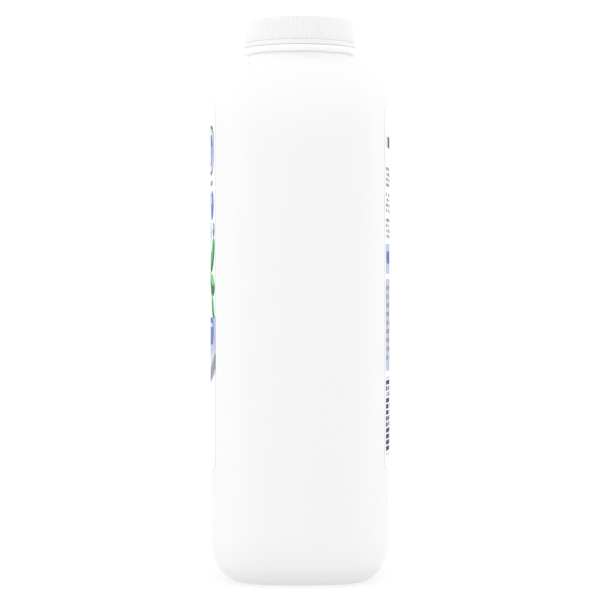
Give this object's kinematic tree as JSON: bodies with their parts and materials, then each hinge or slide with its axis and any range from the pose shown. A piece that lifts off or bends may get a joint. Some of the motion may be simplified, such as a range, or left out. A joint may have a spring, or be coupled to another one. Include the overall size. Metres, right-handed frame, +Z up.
{
  "type": "baby powder bottle",
  "caption": "Tall white plastic powder bottle with oval corners, round shoulder, ribbed sifter cap on a round collar, and film labels on front and back.",
  "frame": {"origin": "centre of the footprint on the standing surface, which is the bottom centre of the whole bottle's box", "axes": "+Z up the bottle to the cap, +X across the width, the front label faces -Y and the back label faces +Y"},
  "size_m": [0.098, 0.0732, 0.228],
  "materials": {
    "body_plastic": "white blow-moulded polyethylene, satin, with a fine moulding grain",
    "closure_plastic": "white moulded polypropylene, smooth, half gloss",
    "label_film": "smooth printed film, half gloss, with fields of blue, green, lavender and grey"
  },
  "bodies": {
    "root": {"body": "body_plastic", "collar": "closure_plastic", "cap": "closure_plastic", "label_front": "label_film", "label_back": "label_film"}
  },
  "joints": []
}
